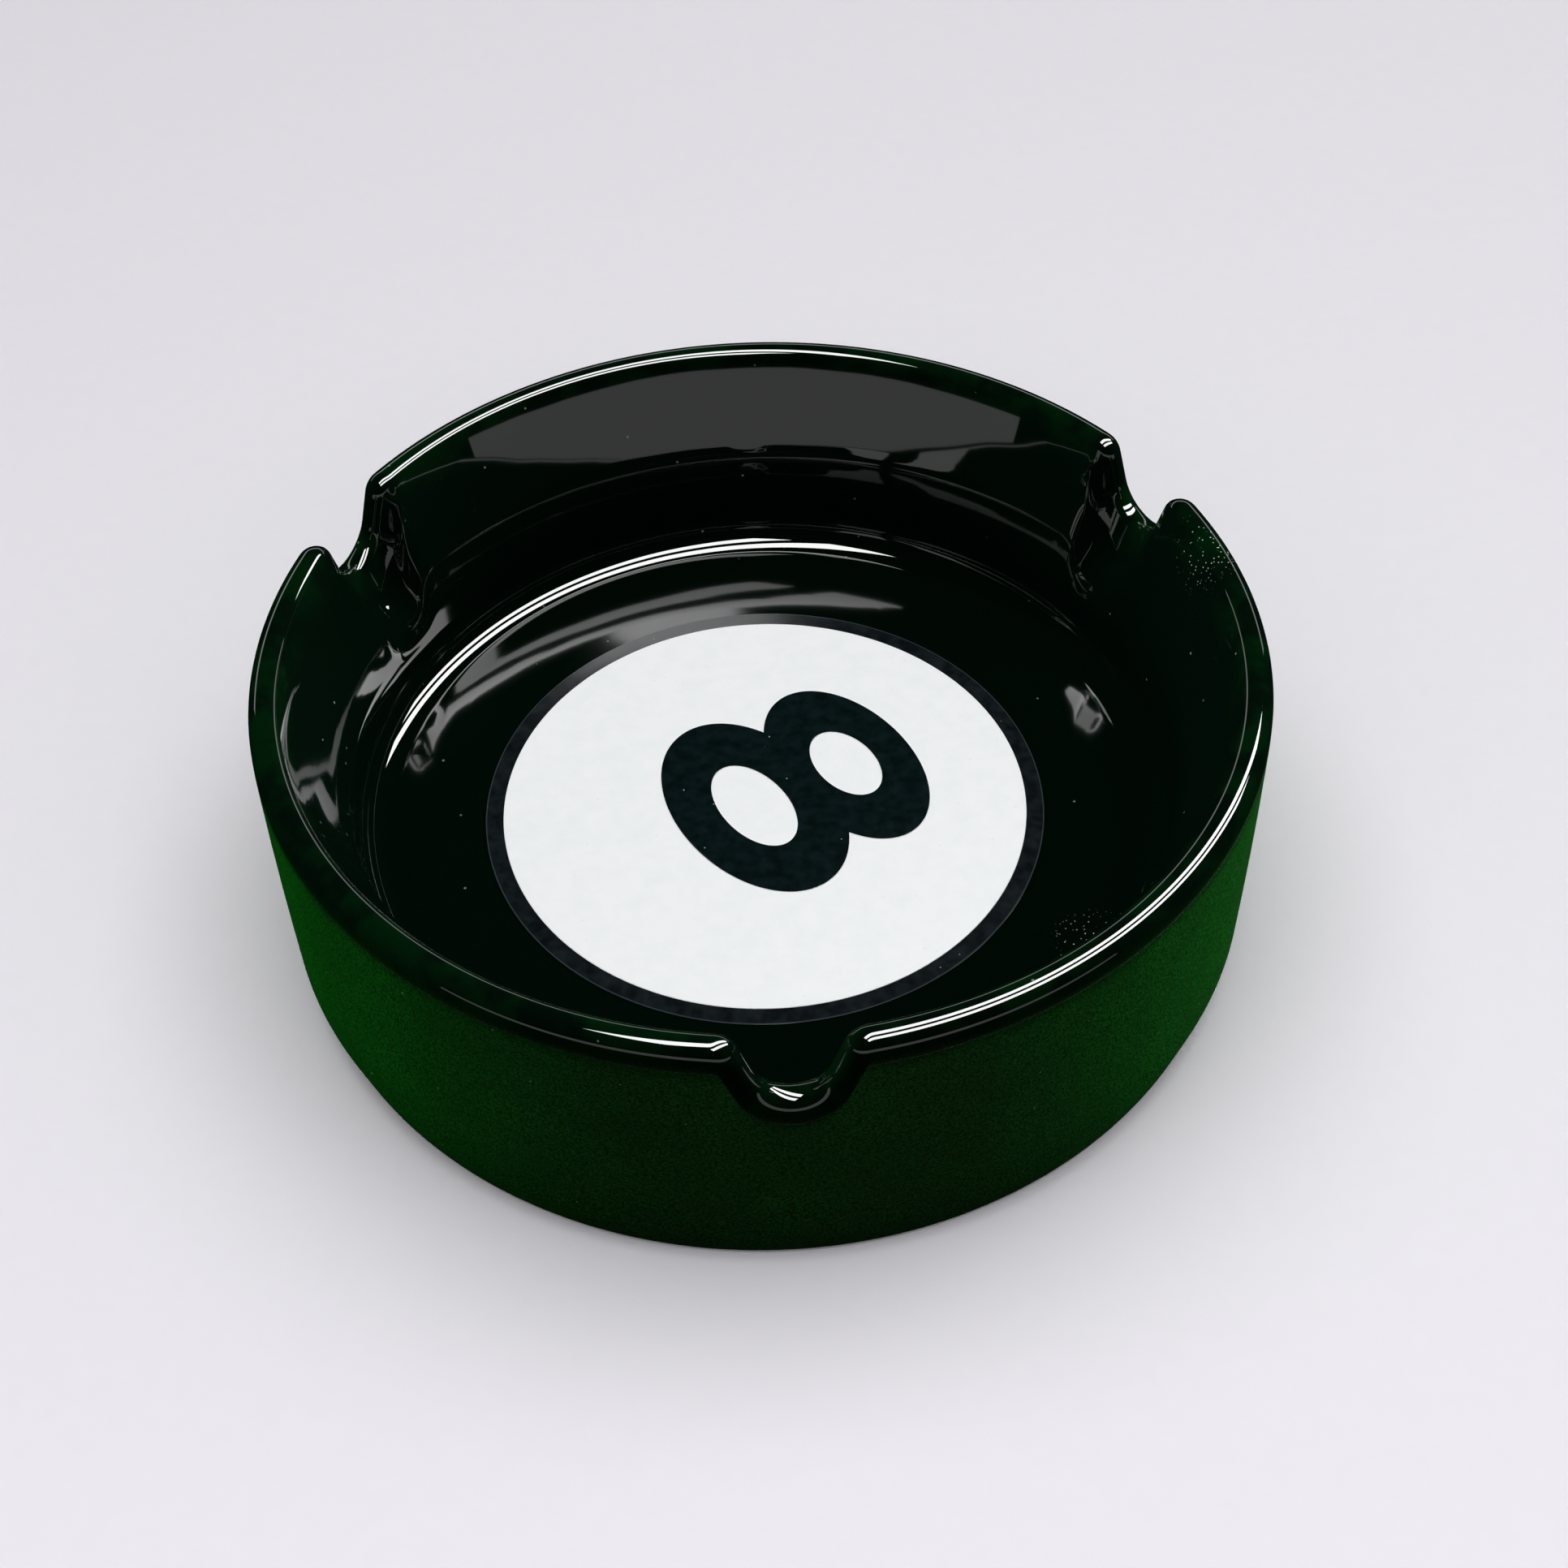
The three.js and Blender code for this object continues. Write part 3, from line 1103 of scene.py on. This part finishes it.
    def build(self) -> list[bpy.types.Object]:
        """Builds the three layers of ink, which the walls around them don't mirror.

        Returns:
            The finished pieces, lowest first.
        """
        pieces = [
            self.disc("print_border", "border_ink", self.border_finish),
            self.disc("print_white_disc", "white_disc_ink", self.white_finish),
            self.numeral(),
        ]
        for piece in pieces:
            piece.visible_glossy = False
        return pieces


# ---- Studio -----------------------------------------------------------------------------------


@dataclass
class Viewpoint:
    """Camera that looks down into the bowl over the front rest."""

    aim: tuple[float, float, float] = (2.482, 0.617, 15.0)
    azimuth: float = -2.543
    elevation: float = 46.77
    distance: float = 332.05
    roll: float = -1.451
    lens: float = 61.49
    sensor: float = 36.0

    def build(self) -> bpy.types.Object:
        """Builds the camera and makes it the scene's own.

        Returns:
            The camera.
        """
        around, up = math.radians(self.azimuth), math.radians(self.elevation)
        back = Vector((math.sin(around) * math.cos(up), -math.cos(around) * math.cos(up), math.sin(up)))
        data = bpy.data.cameras.new("camera")
        data.lens = self.lens
        data.sensor_width = self.sensor
        data.clip_start = 0.01
        camera = bpy.data.objects.new("camera", data)
        camera.location = (Vector(self.aim) + back * self.distance) * MM
        camera.rotation_mode = "QUATERNION"
        roll = Quaternion((0, 0, 1), math.radians(self.roll))
        camera.rotation_quaternion = back.to_track_quat("Z", "Y") @ roll
        bpy.context.scene.collection.objects.link(camera)
        bpy.context.scene.camera = camera
        return camera


@dataclass
class SoftLight:
    """One rectangular studio light, in metres, aimed at a point.

    A light that is mirrored shows in polished surfaces, and one that is diffused lights matt ones.
    With no bounces it stays out of second reflections, and with "only" it reaches just those pieces.
    """

    name: str
    place: tuple[float, float, float]
    size: tuple[float, float]
    watts: float
    aim: tuple[float, float, float] = (0.0, 0.0, 0.02)
    turn: float = 0.0
    mirrored: bool = True
    diffused: bool = True
    bounces: int = 1024
    only: tuple[bpy.types.Object, ...] = ()

    def build(self) -> bpy.types.Object:
        """Builds the light.

        Returns:
            The light.
        """
        data = bpy.data.lights.new(self.name, "AREA")
        data.shape = "RECTANGLE"
        data.size, data.size_y = self.size
        data.energy = self.watts
        data.cycles.max_bounces = self.bounces
        light = bpy.data.objects.new(self.name, data)
        light.location = self.place
        back = Vector(self.place) - Vector(self.aim)
        light.rotation_mode = "QUATERNION"
        turn = Quaternion((0, 0, 1), math.radians(self.turn))
        light.rotation_quaternion = back.to_track_quat("Z", "Y") @ turn
        light.visible_camera = False
        light.visible_glossy = self.mirrored
        light.visible_diffuse = self.diffused
        if self.only:
            subjects = bpy.data.collections.new(self.name + "_subjects")
            for piece in self.only:
                subjects.objects.link(piece)
            light.light_linking.receiver_collection = subjects
        bpy.context.scene.collection.objects.link(light)
        return light


@dataclass
class Studio:
    """Pale floor that rises into a backdrop all round, with soft lights over it."""

    subjects: tuple[bpy.types.Object, ...]
    floor_radius: float = 1.6
    sweep: float = 0.5
    wall: float = 1.4
    air: float = 0.15
    over: float = 0.8
    steps: int = 96
    sweep_segments: int = 12
    panel_places: tuple[tuple[float, float], ...] = ((0.583, 0.362), (0.817, 0.038))
    panel_size: tuple[float, float] = (2.2, 0.23)
    panel_turn: float = 35.8
    panel_watts: float = 23.0
    side_place: tuple[float, float, float] = (0.8, 0.35, 0.25)
    side_size: tuple[float, float] = (0.5, 0.4)
    left_watts: float = 9.0
    right_watts: float = 13.0
    paper: StudioPaper = field(default_factory=StudioPaper)

    def backdrop(self) -> bpy.types.Object:
        """Builds the floor and backdrop.

        Returns:
            The backdrop.
        """
        reach = self.floor_radius + self.sweep
        edge = reach / MM
        bm = spun([(0, 0), (edge, 0), (edge, self.wall / MM)], self.steps, closed=False)
        round_ring(bm, edge, 0, self.sweep / MM, self.sweep_segments)
        bmesh.ops.recalc_face_normals(bm, faces=bm.faces)
        bmesh.ops.reverse_faces(bm, faces=bm.faces)
        for face in bm.faces:
            face.smooth = True
        mesh = bpy.data.meshes.new("backdrop")
        bm.to_mesh(mesh)
        bm.free()
        mesh.materials.append(self.paper.material())
        floor = bpy.data.objects.new("backdrop", mesh)
        floor.visible_glossy = False
        floor.visible_diffuse = False
        bpy.context.scene.collection.objects.link(floor)
        return floor

    def surround(self) -> None:
        """Fills the air above with a soft light that the glass doesn't mirror."""
        world = bpy.data.worlds.new("studio_air")
        bpy.context.scene.world = world
        world.use_nodes = True
        world.node_tree.nodes.clear()
        sky = add_node(world.node_tree, "Background", {"Color": (1, 1, 1, 1), "Strength": self.air})
        add_node(world.node_tree, "OutputWorld", {"Surface": sky.outputs[0]})
        world.cycles_visibility.glossy = False

    def panels(self) -> list[SoftLight]:
        """Sets out the long overhead panels that the glass mirrors.

        Returns:
            The panels, all at the same height.
        """
        long, wide = self.panel_size
        return [
            SoftLight(
                "panel_" + letter,
                (x * self.over, y * self.over, self.over),
                (long * self.over, wide * self.over),
                self.panel_watts,
                aim=(x * self.over, y * self.over, 0),
                turn=self.panel_turn,
                diffused=False,
                bounces=0,
            )
            for letter, (x, y) in zip("ab", self.panel_places)
        ]

    def cards(self) -> list[SoftLight]:
        """Sets out the low cards that draw the highlights along the rim.

        Returns:
            The card in front and the one behind.
        """
        front = SoftLight(
            "front_card", (0.0, -1.0, 0.12), (4.2, 0.24), 2.6, aim=(0, 0, 0.12), diffused=False
        )
        back = SoftLight(
            "back_card", (0.0, 1.0, 0.3), (2.4, 0.16), 2.0, aim=(0, 0, 0.3), diffused=False
        )
        return [front, back]

    def side_lights(self) -> list[SoftLight]:
        """Sets out the lights that brighten the sides of the coat.

        Returns:
            The left light and the right one.
        """
        x, y, z = self.side_place
        return [
            SoftLight(name, (way * x, y, z), self.side_size, watts, mirrored=False, only=self.subjects)
            for name, way, watts in (
                ("left_box", -1, self.left_watts),
                ("right_box", 1, self.right_watts),
            )
        ]

    def build(self) -> None:
        """Builds the stage, its lights and its camera."""
        floor = self.backdrop()
        self.surround()
        fill = SoftLight(
            "overhead_fill", (0, 0.12, 1.1), (1.3, 1.2), 12.5, aim=(0, 0.12, 0), mirrored=False
        )
        glow = SoftLight(
            "floor_glow",
            (0, -0.3, 0.35),
            (0.8, 0.3),
            0.95,
            aim=(0, -0.3, 0),
            mirrored=False,
            only=(floor,),
        )
        for light in [fill, glow, *self.panels(), *self.cards(), *self.side_lights()]:
            light.build()
        Viewpoint().build()
        bpy.context.scene.view_settings.view_transform = "Standard"


# ---- Main -------------------------------------------------------------------------------------


def main() -> None:
    """Builds the ashtray and its studio."""
    logging.basicConfig(level=logging.INFO, format="%(name)s: %(message)s")
    glass_low, glass_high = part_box("glass_bowl")
    coat_low, coat_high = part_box("outer_coat")
    shape = BowlShape(
        rim_radius=min(glass_high[0], coat_high[0]) / MM,
        height=glass_high[2] / MM,
        coat_low=coat_low[2] / MM,
        coat_high=coat_high[2] / MM,
    )
    body = GlassBowl(shape).build()
    coat = OuterCoat(shape).build()
    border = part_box("print_border")[1][0] / MM
    FloorPrint(
        PrintedInk("black_film_ink", "#0B1013", "#1A2124", "#8C979B", 0.14, edge_radius=border),
        PrintedInk("white_printing_ink", "#F9FBFC", "#F3F6F8", "#DFE3E6", 0.4, mottle_size=3.5),
        PrintedInk("black_printing_ink", "#05100F", "#0B1B1D", "#A9B3B5", 0.14),
    ).build()
    Studio((body, coat)).build()


if __name__ == "__main__":
    main()
